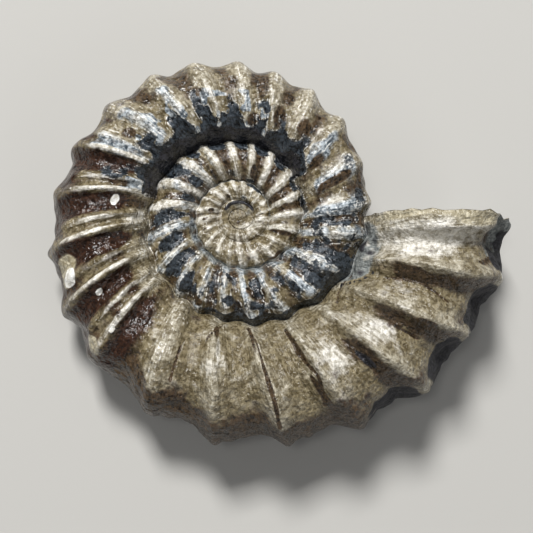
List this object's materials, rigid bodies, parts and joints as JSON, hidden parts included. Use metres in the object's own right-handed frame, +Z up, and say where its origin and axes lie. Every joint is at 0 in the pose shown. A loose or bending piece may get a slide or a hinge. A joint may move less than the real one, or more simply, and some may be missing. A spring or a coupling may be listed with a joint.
{
  "type": "ammonite fossil",
  "caption": "Loose fossil ammonite lying on its flank: an open spiral of strongly ribbed whorls in glossy brown shell over dark stone, broken off square at its wide end.",
  "frame": {"origin": "on the resting plane, straight below the middle of the fossil's bounding box", "axes": "+Z up, square to the flank it lies on; +X along the longest extent, toward the outer edge of the broken end; +Y the way the broken end faces"},
  "size_m": [0.0516, 0.0428, 0.0166],
  "materials": {
    "fossil_calcite": "gloss"
  },
  "bodies": {
    "root": {"ammonite_fossil": "fossil_calcite"}
  },
  "joints": []
}
